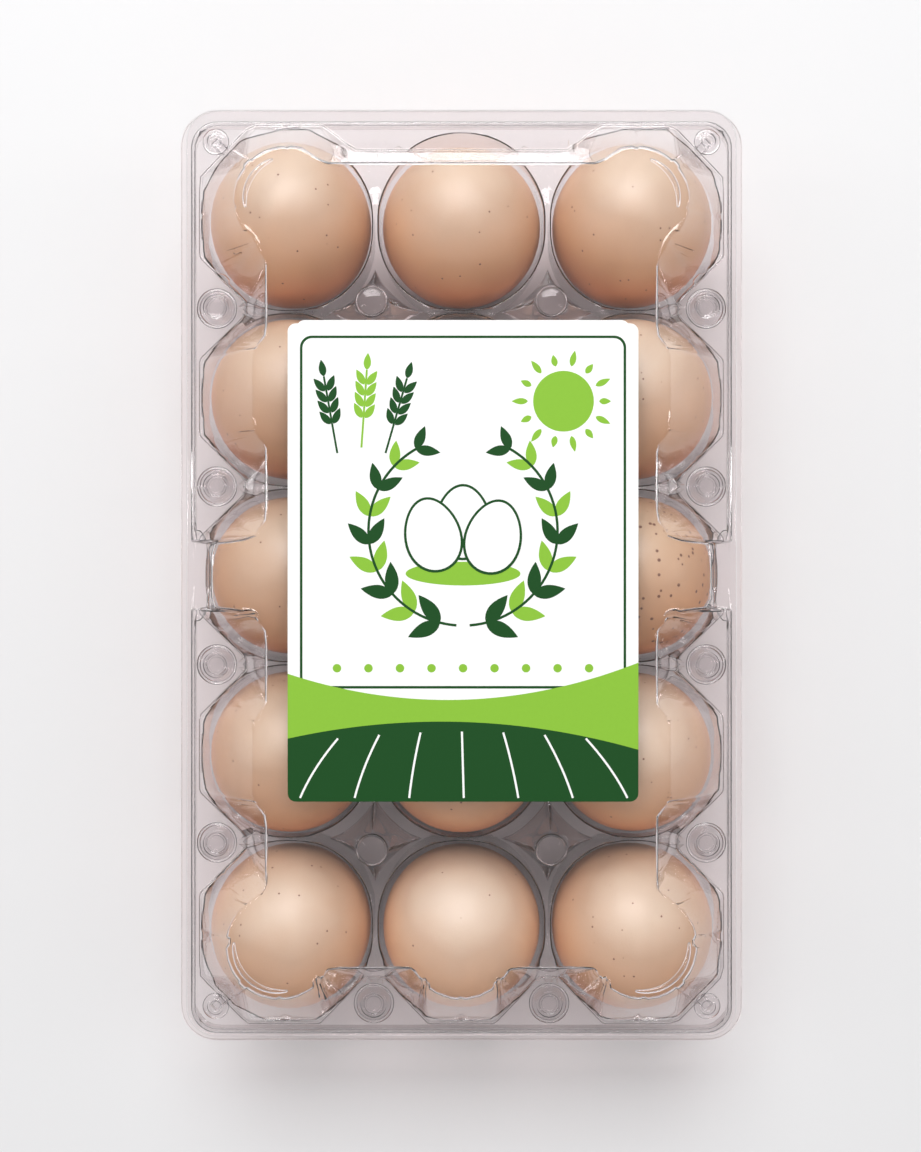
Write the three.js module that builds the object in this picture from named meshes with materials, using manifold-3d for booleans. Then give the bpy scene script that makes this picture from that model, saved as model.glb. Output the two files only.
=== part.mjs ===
// A clear formed-plastic egg carton, three cells wide and five long, with fifteen eggs.
// Millimetres, +Z up. The hinge runs along the far short side (+Y) and the lid opens from -Y.
import * as THREE from 'three';
import Module from 'manifold-3d';
import { mergeVertices } from 'three/addons/utils/BufferGeometryUtils.js';

const wasm = await Module();
wasm.setup();

// The sheet, and the clearance between the lid and the tray
const SHEET = 0.5;
const PLAY = 0.3;

// Cells
const COLUMNS = 3;
const ROWS = 5;
const PITCH_X = 49.1;
const PITCH_Y = 50;

// Tray levels and outline
const LAND_Z = 39.4;
const STRIP_Z = 40.4;
const TRAY_LEDGE_Z = 45.6;
const POST_Z = 58.5;
const TRAY_HALF_X = 80.1;
const TRAY_HALF_Y = 132.6;
const TRAY_CORNER = 10;
const TRAY_STEP = { x: 75.2, back: 126.8, front: 127.8, corner: 6.6, draft: 0.6 };

// One cup: half widths and corner at the mouth, and the share of them at each level
const CUP = { x: 23.5, y: 24.3, corner: 22.6, flare: 0.35, topZ: 47 };
const CUP_LEVELS = [
  { z: 0, share: 0.56 },
  { z: 13, share: 0.96 },
  { z: LAND_Z, share: 1 },
];
const CUP_CORNER_STEPS = 3;

// Posts at the corners where four cells meet, and the flat strips on the lands
const POST_RINGS = [
  { z: LAND_Z - 1, reachX: 13.6, reachY: 12.6, power: 0.75 },
  { z: 49, reachX: 7.6, reachY: 7.4, power: 1.1 },
  { z: POST_Z - 0.6, reachX: 4.9, reachY: 4.9, power: 2 },
  { z: POST_Z, reachX: 4.35, reachY: 4.35, power: 2 },
];
const POST_SIDES = 12;
const STRIP = { length: 15, bevel: 1.4, width: 3 };

// Lid levels and outline
const LID_FLANGE_Z = 40.2;
const LID_LEDGE_Z = 46.4;
const LID_TOP_Z = 64;
const LID_SHOULDER = { z: 62.6, out: 0.7 };
const LID_HALF_X = 78;
const LID_FRONT = 130.7;
const LID_BACK = 132.3;
const LID_CORNER = 8.4;
const LID_STEP = { x: 76, back: 127.6, front: 128.6, corner: 7.4, draft: 0.6 };

// Where the dome's wall stands on the ledge (foot) and meets the top panel (top)
const FOOT = { x: 73.3, back: 126.15, backMiddle: 119.3, front: 125.65 };
const BACK_RECESS = { footHalf: 30.4, wallHalf: 38.6, topHalf: 37.4, topY: 111.4 };
const BACK_CHAMFER = { x: 59.4, y: 111.7 };
const FRONT_CHAMFER = { x: 60.1, y: 112.2 };
const DOME_RADIUS = 14.3;
const BACK_DOME = { x: 47, y: 101.5 };
const SIDE_TOP = 56;
const SIDE_BAY = { mouth: 14.4, floor: 1.9, depthX: 60.5, topX: 52.8, topHalf: 9.8 };
const FRONT_BAY = { mouth: 15.3, floor: 2.95, depthY: 112.8, topY: 106.1, topHalf: 11.35 };
const FINGER_GAP = { half: 9.2, footX: 72 };
const SIDE_BOX = { shoulderX: 59.5, shoulderHalf: 9.5, topX: 67.6, topHalf: 8.7, footHalf: 9.15 };

// Round studs on the ledge
const STUD = { radius: 4.95, taper: 1.3, height: 1.6, x: 68.7, frontX: 24.6, frontY: 120.1 };
const CORNER_STUD = { radius: 3, taper: 0.8, height: 0.9, x: 69, back: 121.8, front: 120.9 };
const STUD_SIDES = 10;
const CRESCENT = { radius: 13.2, width: 1.5, height: 0.7, halfAngle: 55, steps: 6, blunt: 0.3 };

// The paper label: an upper leaf on a narrower one that shows behind it
const LABEL = { left: -46.9, right: 47.7, back: 68, front: -61, corner: 2.2, thick: 0.2 };
const UNDER_LABEL = { left: -44.5, right: 45.3, back: 68.9, front: -55 };

// Eggs stand point down. Width, height and degrees of lean towards +Y, back row first
const EGG_REST_Z = 0.9;
const EGG_BLUNTNESS = 0.1;
const EGG_SIDES = 12;
const EGG_STEPS = 8;
const EGG_WIDTHS = [
  [45.7, 45.3, 45.4],
  [45.5, 45.2, 45.7],
  [45.1, 45.6, 45.5],
  [45.6, 45.7, 45.2],
  [45.4, 45, 45.6],
];
const EGG_HEIGHTS = [
  [57.4, 56, 56.6],
  [56.8, 57.4, 56.4],
  [56.2, 56.8, 57.2],
  [57, 57.4, 56.6],
  [57.3, 57, 57.5],
];
const EGG_LEANS = [
  [4.5, -5, 4],
  [4, 3.5, 5],
  [1, -2, -1],
  [-4, -5, -4],
  [-4.5, -4, -5],
];
// How far towards +Y the eggs of each row stand off their cups' middles
const EGG_OFFSETS = [0.7, 0.6, 0, -0.6, -0.7];

const clearPlastic = { roughness: 0.08, metalness: 0, transparent: true, opacity: 0.4 };
const lidMaterial = new THREE.MeshStandardMaterial({ color: 0xe4e8ea, ...clearPlastic });
const trayMaterial = new THREE.MeshStandardMaterial({ color: 0xd9dcdf, ...clearPlastic });
const labelMaterial = new THREE.MeshStandardMaterial({ color: 0xf4f6f0, roughness: 0.45, metalness: 0 });
const eggMaterial = new THREE.MeshStandardMaterial({ color: 0xdab68e, roughness: 0.55, metalness: 0 });

const cellX = (column) => (column - (COLUMNS - 1) / 2) * PITCH_X;
const cellY = (row) => ((ROWS - 1) / 2 - row) * PITCH_Y;
const cells = [];
for (let row = 0; row < ROWS; row += 1) {
  for (let column = 0; column < COLUMNS; column += 1) {
    cells.push({ row, column, x: cellX(column), y: cellY(row) });
  }
}
const sides = [-1, 1];

// Outlines are lists of points in the XY plane, anticlockwise seen from above

function arc(x, y, radius, from, to, steps) {
  const points = [];
  for (let i = 0; i <= steps; i += 1) {
    const angle = THREE.MathUtils.degToRad(from + ((to - from) * i) / steps);
    points.push(new THREE.Vector2(x + radius * Math.cos(angle), y + radius * Math.sin(angle)));
  }
  return points;
}

function roundedBox(left, right, front, back, radius, steps) {
  return [
    ...arc(right - radius, back - radius, radius, 0, 90, steps),
    ...arc(left + radius, back - radius, radius, 90, 180, steps),
    ...arc(left + radius, front + radius, radius, 180, 270, steps),
    ...arc(right - radius, front + radius, radius, 270, 360, steps),
  ];
}

function circle(x, y, radius, steps) {
  return arc(x, y, radius, 0, 360, steps).slice(0, steps);
}

// Each edge moves in by the distance, and neighbouring edges meet again where they cross
function inset(points, distance) {
  const count = points.length;
  return points.map((point, i) => {
    const before = point.clone().sub(points[(i + count - 1) % count]).normalize();
    const after = points[(i + 1) % count].clone().sub(point).normalize();
    const bisector = new THREE.Vector2(-before.y - after.y, before.x + after.x).normalize();
    const reach = bisector.x * -after.y + bisector.y * after.x;
    return point.clone().addScaledVector(bisector, distance / reach);
  });
}

// A closed body through outlines with equal numbers of points, lowest first
function loft(rings) {
  const count = rings[0].points.length;
  const positions = [];
  for (const ring of rings) {
    for (const point of ring.points) {
      positions.push(point.x, point.y, ring.z);
    }
  }
  const index = [];
  for (let ring = 0; ring + 1 < rings.length; ring += 1) {
    for (let i = 0; i < count; i += 1) {
      const a = ring * count + i;
      const b = ring * count + ((i + 1) % count);
      index.push(a, b, b + count, a, b + count, a + count);
    }
  }
  const last = (rings.length - 1) * count;
  for (const [p, q, r] of THREE.ShapeUtils.triangulateShape(rings[0].points, [])) {
    index.push(r, q, p);
  }
  for (const [p, q, r] of THREE.ShapeUtils.triangulateShape(rings.at(-1).points, [])) {
    index.push(last + p, last + q, last + r);
  }
  const geometry = new THREE.BufferGeometry();
  geometry.setAttribute('position', new THREE.Float32BufferAttribute(positions, 3));
  geometry.setIndex(index);
  return solid(geometry);
}

function prism(points, bottom, top) {
  return loft([{ points, z: bottom }, { points, z: top }]);
}

function solid(geometry) {
  return new wasm.Manifold(new wasm.Mesh({
    numProp: 3,
    vertProperties: new Float32Array(geometry.getAttribute('position').array),
    triVerts: new Uint32Array(geometry.index.array),
  }));
}

function box(left, right, front, back, bottom, top) {
  const points = [[left, front], [right, front], [right, back], [left, back]];
  return prism(points.map(([x, y]) => new THREE.Vector2(x, y)), bottom, top);
}

function joined(solids) {
  return solids.reduce((whole, next) => whole.add(next));
}

function meshOf(name, body, material) {
  const { vertProperties, triVerts } = body.getMesh();
  const geometry = new THREE.BufferGeometry();
  geometry.setAttribute('position', new THREE.BufferAttribute(new Float32Array(vertProperties), 3));
  geometry.setIndex(new THREE.BufferAttribute(new Uint32Array(triVerts), 1));
  geometry.computeVertexNormals();
  const mesh = new THREE.Mesh(geometry, material);
  mesh.name = name;
  return mesh;
}

// The stepped rim that both mouldings have, narrower at the top by its draft
function rim(step, bottom, foot, top, shrink) {
  const corner = step.corner + step.draft - shrink;
  const x = step.x + step.draft - shrink;
  const back = step.back + step.draft - shrink;
  const front = step.front + step.draft - shrink;
  const low = roundedBox(-x, x, -front, back, corner, 4);
  const high = inset(low, step.draft);
  return loft([{ points: low, z: bottom }, { points: low, z: foot }, { points: high, z: top - shrink }]);
}

function stud(x, y, size, bottom, shrink) {
  const low = circle(x, y, size.radius - shrink, STUD_SIDES);
  const high = circle(x, y, size.radius - size.taper - shrink, STUD_SIDES);
  return loft([
    { points: low, z: bottom - 1 },
    { points: high, z: bottom + size.height - shrink },
  ]);
}

const studPlaces = [];
for (const side of sides) {
  for (let row = 0; row + 1 < ROWS; row += 1) {
    studPlaces.push({ x: side * STUD.x, y: cellY(row) - PITCH_Y / 2 });
  }
  studPlaces.push({ x: side * STUD.frontX, y: -STUD.frontY });
}

// The dome's wall: pairs of a foot point on the ledge and a top point on the panel

function wallStretch(foot, top, steps) {
  return Array.from({ length: steps + 1 }, (_, i) => {
    const share = i / steps;
    const angle = THREE.MathUtils.degToRad(THREE.MathUtils.lerp(top.from, top.to, share));
    return {
      foot: new THREE.Vector2().lerpVectors(foot.from, foot.to, share),
      top: new THREE.Vector2(
        top.x + DOME_RADIUS * Math.cos(angle),
        top.y + DOME_RADIUS * Math.sin(angle),
      ),
    };
  });
}

function pair(footX, footY, topX, topY) {
  return { foot: new THREE.Vector2(footX, footY), top: new THREE.Vector2(topX, topY) };
}

// One end of the box that takes the panel out over the finger gap
function sideBox(end) {
  const { shoulderX, shoulderHalf, topX, topHalf, footHalf } = SIDE_BOX;
  return [
    pair(FOOT.x, end * shoulderHalf, shoulderX, end * shoulderHalf),
    pair(FINGER_GAP.footX, end * footHalf, topX, end * topHalf),
  ];
}

// Right half of the wall, from the middle of the back clockwise to the middle of the front
function rightWall() {
  const point = (x, y) => new THREE.Vector2(x, y);
  const bayY = (row) => cellY(row) - PITCH_Y / 2;
  const firstBay = point(FOOT.x, bayY(0) + SIDE_BAY.mouth);
  const lastBay = point(FOOT.x, bayY(ROWS - 2) - SIDE_BAY.mouth);
  const frontCell = { x: cellX(COLUMNS - 1), y: cellY(ROWS - 1) };
  const frontBay = PITCH_X / 2;
  const wall = [pair(BACK_RECESS.footHalf, FOOT.backMiddle, BACK_RECESS.topHalf, BACK_RECESS.topY)];

  const backCorner = [
    [point(BACK_RECESS.wallHalf, FOOT.back), point(BACK_CHAMFER.x, FOOT.back), 106, 63, 2],
    [point(BACK_CHAMFER.x, FOOT.back), point(FOOT.x, BACK_CHAMFER.y), 63, 21, 3],
    [point(FOOT.x, BACK_CHAMFER.y), firstBay, 21, -53.5, 3],
  ];
  for (const [from, to, start, end, steps] of backCorner) {
    wall.push(...wallStretch({ from, to }, { ...BACK_DOME, from: start, to: end }, steps).slice(0, -1));
  }
  for (let row = 0; row + 1 < ROWS; row += 1) {
    const y = bayY(row);
    const topAbove = row === 0 ? point(55.5, 90) : point(SIDE_TOP, y + SIDE_BAY.mouth);
    wall.push(pair(FOOT.x, y + SIDE_BAY.mouth, topAbove.x, topAbove.y));
    wall.push(pair(SIDE_BAY.depthX, y + SIDE_BAY.floor, SIDE_BAY.topX, y + SIDE_BAY.topHalf));
    wall.push(pair(SIDE_BAY.depthX, y - SIDE_BAY.floor, SIDE_BAY.topX, y - SIDE_BAY.topHalf));
    if (row + 2 < ROWS) {
      wall.push(pair(FOOT.x, y - SIDE_BAY.mouth, SIDE_TOP, y - SIDE_BAY.mouth));
    }
    if (row + 1 === (ROWS - 1) / 2) {
      wall.push(...sideBox(1), ...sideBox(-1).reverse());
    }
  }
  const frontCorner = [
    [lastBay, point(FOOT.x, -FRONT_CHAMFER.y), 47.9, -26.8, 3],
    [point(FOOT.x, -FRONT_CHAMFER.y), point(FRONT_CHAMFER.x, -FOOT.front), -26.8, -66.8, 3],
    [point(FRONT_CHAMFER.x, -FOOT.front), point(frontBay + FRONT_BAY.mouth, -FOOT.front), -66.8, -136.8, 3],
  ];
  for (const [from, to, start, end, steps] of frontCorner) {
    wall.push(...wallStretch({ from, to }, { ...frontCell, from: start, to: end }, steps).slice(0, -1));
  }
  const { mouth, floor, depthY, topY, topHalf } = FRONT_BAY;
  wall.push(pair(frontBay + mouth, -FOOT.front, 38.7, -109.8));
  wall.push(pair(frontBay + floor, -depthY, frontBay + topHalf, -topY));
  wall.push(pair(frontBay - floor, -depthY, frontBay - topHalf, -topY));
  const middle = { x: 0, y: frontCell.y, from: -45.3, to: -90 };
  const middleFoot = { from: point(frontBay - FRONT_BAY.mouth, -FOOT.front), to: point(0, -FOOT.front) };
  wall.push(...wallStretch(middleFoot, middle, 3));
  return wall;
}

function domeOutlines() {
  const right = rightWall();
  const mirrored = right.slice(0, -1).reverse();
  const flip = (point) => new THREE.Vector2(-point.x, point.y);
  const loop = [
    ...right,
    ...mirrored.map(({ foot, top }) => ({ foot: flip(foot), top: flip(top) })),
  ].reverse();
  return { foot: loop.map(({ foot }) => foot), top: loop.map(({ top }) => top) };
}

const outlines = domeOutlines();

// Foot outline, shoulder and top panel of the dome, thinner by the sheet for its hollow
function dome(bottom, shrink) {
  const foot = inset(outlines.foot, shrink);
  const top = inset(outlines.top, shrink);
  const share = (LID_SHOULDER.z - LID_LEDGE_Z) / (LID_TOP_Z - LID_LEDGE_Z);
  const shoulder = foot.map((point, i) => {
    const onWall = point.clone().lerp(top[i], share);
    const outward = onWall.clone().sub(top[i]).normalize();
    return onWall.addScaledVector(outward, LID_SHOULDER.out);
  });
  return loft([
    { points: foot, z: bottom },
    { points: foot, z: LID_LEDGE_Z - shrink },
    { points: shoulder, z: LID_SHOULDER.z - shrink },
    { points: top, z: LID_TOP_Z - shrink },
  ]);
}

// A raised crescent on the panel over a front corner egg
function crescent(side) {
  const x = side * cellX(COLUMNS - 1);
  const y = cellY(ROWS - 1);
  const middle = side > 0 ? -45 : -135;
  const { radius, width, height, halfAngle, steps, blunt } = CRESCENT;
  const outer = arc(x, y, radius, middle - halfAngle, middle + halfAngle, steps);
  const centre = new THREE.Vector2(x, y);
  const inner = outer.map((point, i) => {
    const across = blunt + width * Math.sin((Math.PI * i) / steps);
    return point.clone().sub(centre).setLength(radius - across).add(centre);
  });
  const points = [...outer, ...inner.reverse()];
  return loft([
    { points, z: LID_TOP_Z - SHEET / 2 },
    { points: inset(points, 0.1), z: LID_TOP_Z + height },
  ]);
}

// A block on one long side from x out past the edge
function beside(side, x, half, bottom) {
  const [left, right] = [side * x, side * (TRAY_HALF_X + 5)].sort((a, b) => a - b);
  return box(left, right, -half, half, bottom, LID_TOP_Z);
}

// The ledge stops short at the middle of both long sides, where fingers reach the flange
function fingerGaps(widen, bottom) {
  const half = FINGER_GAP.half + widen;
  return joined(sides.map((side) => beside(side, FINGER_GAP.footX - widen, half, bottom)));
}

function lidSolid() {
  const flange = prism(
    roundedBox(-LID_HALF_X, LID_HALF_X, -LID_FRONT, LID_BACK, LID_CORNER, 5),
    LID_FLANGE_Z - SHEET,
    LID_FLANGE_Z,
  );
  const bottom = LID_FLANGE_Z - SHEET;
  const wallBottom = bottom - 2;
  const outerStuds = [];
  const innerStuds = [];
  for (const { x, y } of studPlaces) {
    outerStuds.push(stud(x, y, STUD, LID_LEDGE_Z, 0));
    innerStuds.push(stud(x, y, STUD, LID_LEDGE_Z, SHEET));
  }
  for (const side of sides) {
    for (const y of [CORNER_STUD.back, -CORNER_STUD.front]) {
      outerStuds.push(stud(side * CORNER_STUD.x, y, CORNER_STUD, LID_LEDGE_Z, 0));
    }
  }
  const outerRim = rim(LID_STEP, bottom, LID_FLANGE_Z, LID_LEDGE_Z, 0);
  const innerRim = rim(LID_STEP, wallBottom, LID_FLANGE_Z, LID_LEDGE_Z, SHEET);
  const outer = joined([
    flange,
    joined([outerRim, ...outerStuds]).subtract(fingerGaps(0, LID_FLANGE_Z)),
    narrowed(dome(bottom, 0), 0),
    ...sides.map(crescent),
  ]);
  const hollow = joined([
    joined([innerRim, ...innerStuds]).subtract(fingerGaps(SHEET, wallBottom - 1)),
    narrowed(dome(wallBottom, SHEET), SHEET),
  ]);
  return outer.subtract(hollow);
}

// At the finger gaps the dome's foot stands a little further in
function narrowed(body, shrink) {
  const half = FINGER_GAP.half + SHEET - shrink;
  return sides.reduce((rest, side) => rest.subtract(beside(side, FINGER_GAP.footX - shrink, half, 0)), body);
}

// Cup outlines from the floor up, then on through whatever stands above the lands
function cup(x, y, grow) {
  const ring = (share, wider) => {
    const halfX = CUP.x * share + wider + grow;
    const halfY = CUP.y * share + wider + grow;
    const corner = CUP.corner * share + wider + grow;
    return roundedBox(x - halfX, x + halfX, y - halfY, y + halfY, corner, CUP_CORNER_STEPS);
  };
  const rings = CUP_LEVELS.map(({ z, share }) => ({ points: ring(share, 0), z }));
  rings[0].z = SHEET - grow;
  rings.push({ points: ring(1, CUP.flare), z: CUP.topZ });
  return loft(rings);
}

function superellipse(x, y, reachX, reachY, power) {
  return Array.from({ length: POST_SIDES }, (_, i) => {
    const angle = (2 * Math.PI * i) / POST_SIDES;
    const c = Math.cos(angle);
    const s = Math.sin(angle);
    const radius = (Math.abs(c / reachX) ** power + Math.abs(s / reachY) ** power) ** (-1 / power);
    return new THREE.Vector2(x + radius * c, y + radius * s);
  });
}

function post(x, y, shrink) {
  return loft(POST_RINGS.map(({ z, reachX, reachY, power }) => ({
    points: superellipse(x, y, reachX - shrink, reachY - shrink, power),
    z: z - shrink,
  })));
}

// A flat strip with bevelled ends on the land between two cups
function strip(x, y, alongX) {
  const half = STRIP.length / 2;
  const across = STRIP.width / 2;
  const ring = (long) => {
    const [a, b] = alongX ? [long, across] : [across, long];
    return [[-a, -b], [a, -b], [a, b], [-a, b]].map(([dx, dy]) => new THREE.Vector2(x + dx, y + dy));
  };
  return loft([
    { points: ring(half + STRIP.bevel), z: LAND_Z - 0.4 },
    { points: ring(half), z: STRIP_Z },
  ]);
}

const postPlaces = [];
for (const { row, column, x, y } of cells) {
  if (row + 1 < ROWS && column + 1 < COLUMNS) {
    postPlaces.push({ x: x + PITCH_X / 2, y: y - PITCH_Y / 2 });
  }
}

function lands() {
  const strips = [];
  for (const { row, column, x, y } of cells) {
    if (row + 1 < ROWS) {
      strips.push(strip(x, y - PITCH_Y / 2, true));
    }
    if (column + 1 < COLUMNS) {
      strips.push(strip(x + PITCH_X / 2, y, false));
    }
  }
  return joined(strips);
}

function traySolid() {
  const atFingerGap = ({ x, y }) => Math.abs(x) > 70 && Math.abs(y) <= SIDE_BOX.shoulderHalf;
  const plainFoot = outlines.foot.filter((point) => !atFingerGap(point));
  const inside = inset(plainFoot, 1.2);
  const below = -5;
  const flange = roundedBox(-TRAY_HALF_X, TRAY_HALF_X, -TRAY_HALF_Y, TRAY_HALF_Y, TRAY_CORNER, 4);
  const studSize = { ...STUD, radius: STUD.radius - SHEET - PLAY, height: STUD.height - 0.1 };
  const gapWiden = SHEET + PLAY;

  const ledge = (shrink) => rim(TRAY_STEP, LAND_Z - 1, LAND_Z, TRAY_LEDGE_Z, shrink)
    .subtract(prism(inset(inside, -shrink), LAND_Z - shrink, LID_TOP_Z))
    .subtract(fingerGaps(gapWiden + shrink, LAND_Z - shrink));
  const raised = (shrink) => joined([
    ledge(shrink),
    ...studPlaces.map(({ x, y }) => stud(x, y, studSize, TRAY_LEDGE_Z, shrink)),
    ...postPlaces.map(({ x, y }) => post(x, y, shrink)),
  ]);

  const cups = joined(cells.map(({ x, y }) => cup(x, y, 0)));
  const cupWalls = joined(cells.map(({ x, y }) => cup(x, y, SHEET)));
  const terrain = joined([prism(flange, 0, LAND_Z), raised(0), lands()]);
  const room = 20;
  const under = box(
    -TRAY_HALF_X - room,
    TRAY_HALF_X + room,
    -TRAY_HALF_Y - room,
    TRAY_HALF_Y + room,
    below,
    LAND_Z - SHEET,
  );
  return terrain.subtract(cups).subtract(joined([under, raised(SHEET)]).subtract(cupWalls));
}

function labelSolid() {
  const leaf = (size, bottom) => prism(
    roundedBox(size.left, size.right, size.front, size.back, LABEL.corner, 3),
    bottom,
    bottom + LABEL.thick,
  );
  const lift = 0.1;
  const lower = leaf(UNDER_LABEL, LID_TOP_Z + lift);
  return lower.add(leaf(LABEL, LID_TOP_Z + lift + LABEL.thick * 0.8));
}

// An egg's profile is a circle stretched to its height and fuller above the middle
function eggMesh({ row, column, x, y }) {
  const width = EGG_WIDTHS[row][column];
  const height = EGG_HEIGHTS[row][column];
  const profile = Array.from({ length: EGG_STEPS + 1 }, (_, i) => {
    const angle = (Math.PI * i) / EGG_STEPS;
    const onAxis = i === 0 || i === EGG_STEPS;
    const radius = (width / 2) * Math.sin(angle) * (1 - EGG_BLUNTNESS * Math.cos(angle));
    return new THREE.Vector2(onAxis ? 0 : radius, (-height / 2) * Math.cos(angle));
  });
  const lathe = new THREE.LatheGeometry(profile, EGG_SIDES);
  lathe.deleteAttribute('normal');
  lathe.deleteAttribute('uv');
  const geometry = mergeVertices(lathe);
  geometry.rotateX(Math.PI / 2);
  geometry.computeVertexNormals();
  const mesh = new THREE.Mesh(geometry, eggMaterial);
  mesh.name = `egg_r${row + 1}_c${column + 1}`;
  mesh.rotation.x = THREE.MathUtils.degToRad(-EGG_LEANS[row][column]);
  mesh.position.set(x, y + EGG_OFFSETS[row], EGG_REST_Z + height / 2);
  return mesh;
}

const carton = new THREE.Group();
carton.add(meshOf('tray', traySolid(), trayMaterial));
carton.add(meshOf('lid', lidSolid(), lidMaterial));
carton.add(meshOf('label', labelSolid(), labelMaterial));
cells.forEach((cell) => carton.add(eggMesh(cell)));

export default carton;
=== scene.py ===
"""A clear formed-plastic egg carton with fifteen brown eggs and a paper label, seen from straight above.

Shapes are in millimetres and lights in metres. x points right, and y to the back, where the hinge is.
"""
import math

import bpy
import numpy as np
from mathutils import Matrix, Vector


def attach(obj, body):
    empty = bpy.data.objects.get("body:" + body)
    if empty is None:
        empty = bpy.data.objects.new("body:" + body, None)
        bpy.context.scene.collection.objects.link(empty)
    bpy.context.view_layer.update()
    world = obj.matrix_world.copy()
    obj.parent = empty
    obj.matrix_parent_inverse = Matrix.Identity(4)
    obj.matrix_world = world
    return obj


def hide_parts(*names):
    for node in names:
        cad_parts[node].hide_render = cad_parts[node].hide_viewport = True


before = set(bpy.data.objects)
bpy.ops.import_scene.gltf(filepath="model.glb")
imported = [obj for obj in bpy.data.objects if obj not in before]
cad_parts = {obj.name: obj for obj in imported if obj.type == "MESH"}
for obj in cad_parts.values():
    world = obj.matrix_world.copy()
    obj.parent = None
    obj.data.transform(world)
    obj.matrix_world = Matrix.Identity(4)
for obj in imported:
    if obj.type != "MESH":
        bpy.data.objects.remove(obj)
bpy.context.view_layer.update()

MM = 0.001
SHEET = 0.35

# Cells
COLUMNS, ROWS = 3, 5
PITCH_X, PITCH_Y = 49.1, 50.0
BLOCK_X, BLOCK_Y = COLUMNS * PITCH_X / 2, ROWS * PITCH_Y / 2

# Tray levels and outline
LAND_Z, STRIP_Z, TRAY_LEDGE_Z, POST_Z = 39.4, 40.4, 45.6, 58.5
TRAY_HALF_X, TRAY_HALF_Y, TRAY_CORNER = 80.1, 132.6, 10.0
TRAY_STEP = {"x": 75.2, "back": 126.8, "front": 127.8, "corner": 6.6}
STEP_DRAFT = 0.6
LEDGE_INNER = {"x": 58.2, "back": 117.0, "front": 110.4}
LEDGE_RISE = 2.6
CUP = {"x": 23.5, "y": 24.3, "corner": 22.6, "floor_share": 0.56, "floor_dome": 0.9}
CUP_LEVELS = (37.5, 33.5, 28.0, 22.0, 16.0, 11.0, 6.5, 3.0)
# On the ledge a cup's brim reaches out to this far inside the dome's foot line, or by the most it may
BRIM_INSET, BRIM_REACH = 1.0, 4.5
# The raised strips of land where two cups come nearest, which start this far from a cell's middle
STRIP = {"half": 7.5, "bevel": 1.4, "from_x": 22.9, "from_y": 23.5}

# Posts. The flank's rings lie at these shares of its drop, and the disc's at these shares of its radius
# and these heights over it
POST_SIDES = 48
POST = {"disc": 4.35, "reach_x": 13.3, "reach_y": 12.3, "foot_power": 0.75, "flank_power": 0.66}
POST_DROPS = (1.0, 0.93, 0.84, 0.72, 0.6, 0.48, 0.36, 0.25, 0.16, 0.09, 0.04, 0.01)
POST_DISC_PROFILE = (
    (0.97, 0.0),
    (0.86, -0.05),
    (0.8, -0.3),
    (0.76, -0.28),
    (0.6, -0.08),
    (0.42, 0.08),
    (0.22, 0.18),
    (0.06, 0.2),
)

# Lid levels and outline
LID_FLANGE_Z, LID_LEDGE_Z, LID_TOP_Z = 40.2, 46.4, 64.0
LID_HALF_X, LID_FRONT, LID_BACK, LID_CORNER = 78.0, 130.7, 132.3, 8.4
LID_STEP = {"x": 76.0, "back": 127.6, "front": 128.6, "corner": 7.4}

# Where the dome's wall stands on the ledge (foot) and meets the top panel (top)
FOOT_X, FOOT_BACK, FOOT_BACK_MIDDLE, FOOT_FRONT = 73.3, 126.15, 119.3, 125.65
BACK_CHAMFER = (59.4, 111.7)
FRONT_CHAMFER = (60.1, 112.2)
DOME_RADIUS = 14.3
BACK_DOME = (47.0, 101.5)
FRONT_DOME = (PITCH_X, -2 * PITCH_Y)
SIDE_TOP = 56.0
SIDE_BAY = {"mouth": 14.4, "floor": 1.9, "depth": 60.5, "top": 52.8, "top_half": 9.8}
FRONT_BAY = {"mouth": 15.3, "floor": 2.95, "depth": 112.8, "top": 106.1, "top_half": 11.35}
FINGER_GAP_HALF = 9.2
# Corners of the box at the finger gap, as foot x, foot y, top x, top y
FINGER_BOX = ((FOOT_X, 9.5, 59.5, 9.5), (72, 9.15, 67.6, 8.7))

# Round studs on the ledge
STUD_SIDES = 30
STUD = {"radius": 4.95, "taper": 1.3, "height": 1.6, "x": 68.7, "front_x": 24.6, "front_y": 120.1}
CORNER_STUD = {"radius": 3.0, "taper": 0.7, "height": 0.9, "x": 69.0, "back": 121.8, "front": 120.9}

# Label leaves, as left, right, front and back edges
LABEL = (-46.9, 47.7, -61.0, 68.0)
UNDER_LABEL = (-44.5, 45.3, -55.0, 68.9)
LABEL_CORNER = 2.2
LABEL_Z, LABEL_THICKNESS = 64.36, 0.1
UNDER_LABEL_Z, UNDER_LABEL_THICKNESS = 64.26, 0.14
INK_THICKNESS = 0.02

# Eggs, back row first
EGG_REST_Z = 0.9
EGG_BLUNTNESS = 0.1
EGG_WIDTHS = (
    (45.7, 45.3, 45.4),
    (45.5, 45.2, 45.7),
    (45.1, 45.6, 45.5),
    (45.6, 45.7, 45.2),
    (45.4, 45.0, 45.6),
)
EGG_HEIGHTS = (
    (57.4, 56.0, 56.6),
    (56.8, 57.4, 56.4),
    (56.2, 56.8, 57.2),
    (57.0, 57.4, 56.6),
    (57.3, 57.0, 57.5),
)
# How many degrees each egg leans along the carton, and how far each row sits off its cells' middles
EGG_LEANS = ((4.5, -5, 4), (4, 3.5, 5), (1, -2, -1), (-4, -5, -4), (-4.5, -4, -5))
EGG_OFFSETS = (0.7, 0.6, 0, -0.6, -0.7)
EGG_SIDES, EGG_STEPS = 56, 40
EGG_TONES = (
    ("mid", "mid", "mid"),
    ("deep", "mid", "mid"),
    ("deep", "mid", "freckled"),
    ("deep", "mid", "mid"),
    ("mid", "pale", "mid"),
)
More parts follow.
